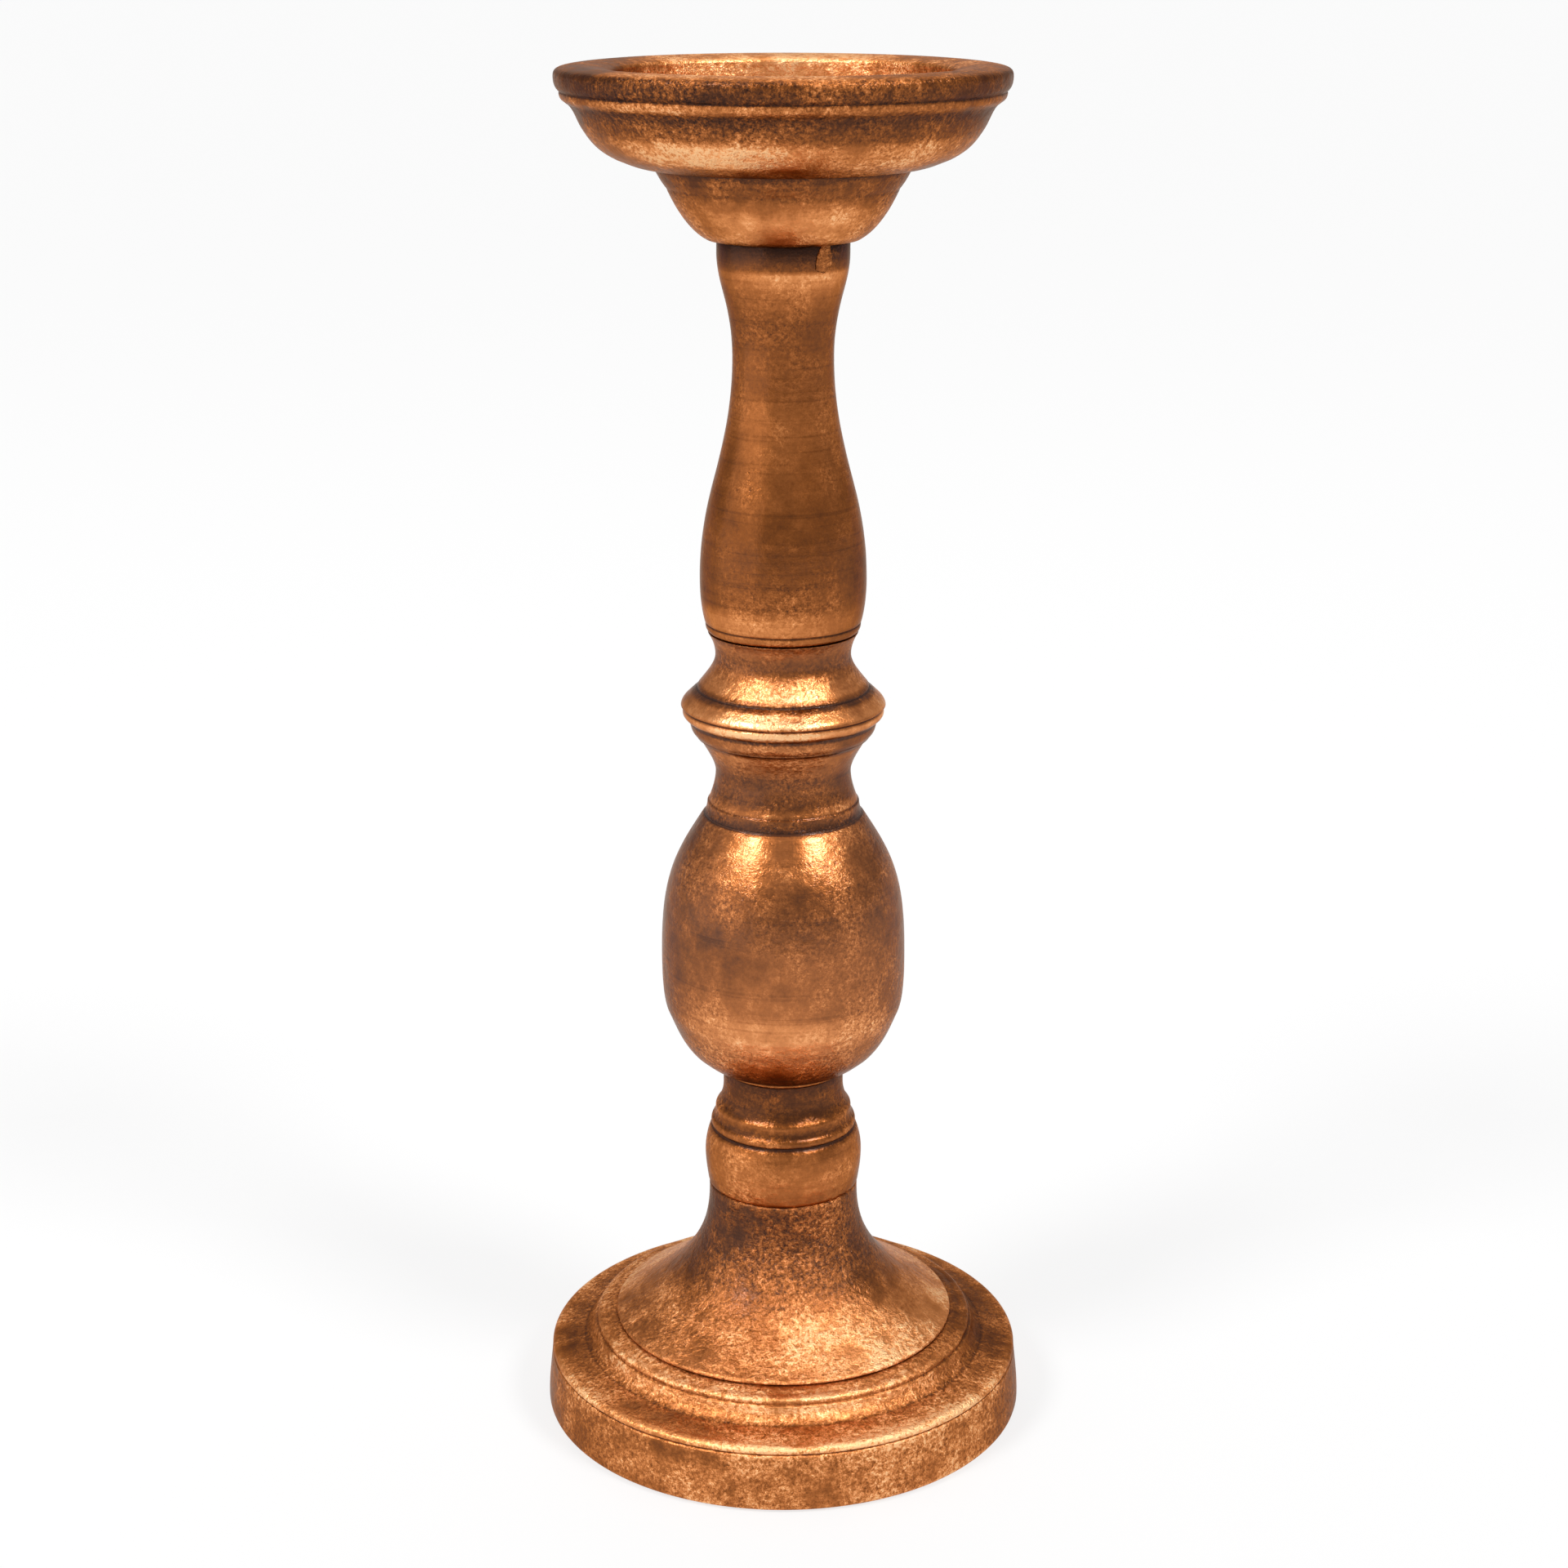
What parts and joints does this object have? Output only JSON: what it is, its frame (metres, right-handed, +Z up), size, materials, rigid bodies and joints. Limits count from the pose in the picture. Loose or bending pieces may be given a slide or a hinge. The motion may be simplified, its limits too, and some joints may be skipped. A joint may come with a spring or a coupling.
{
  "type": "altar candlestick",
  "caption": "Turned baluster candlestick: round moulded base, bell foot, vase and knop stem, and a wide pan with a shallow well that holds one pillar candle.",
  "frame": {"origin": "middle of the felt's resting face, on the table", "axes": "+Z up along the axis of the turning, towards the pan; X and Y are alike"},
  "size_m": [0.1202, 0.1202, 0.3323],
  "materials": {
    "gilt_wood": "turned wood under aged copper-gold leaf, satin, dark patina in the grooves",
    "steel": "zinc-plated, satin",
    "felt": "pressed wool felt"
  },
  "bodies": {
    "root": {"base_plinth": "gilt_wood", "bell_foot": "gilt_wood", "bead_collar": "gilt_wood", "vase": "gilt_wood", "knop": "gilt_wood", "shaft": "gilt_wood", "cup": "gilt_wood", "drip_pan": "gilt_wood", "well_plug": "gilt_wood", "tie_rod": "steel", "base_washer": "steel", "lock_washer": "steel", "base_nut": "steel", "pan_washer": "steel", "pan_nut": "steel", "felt_ring": "felt"}
  },
  "joints": []
}
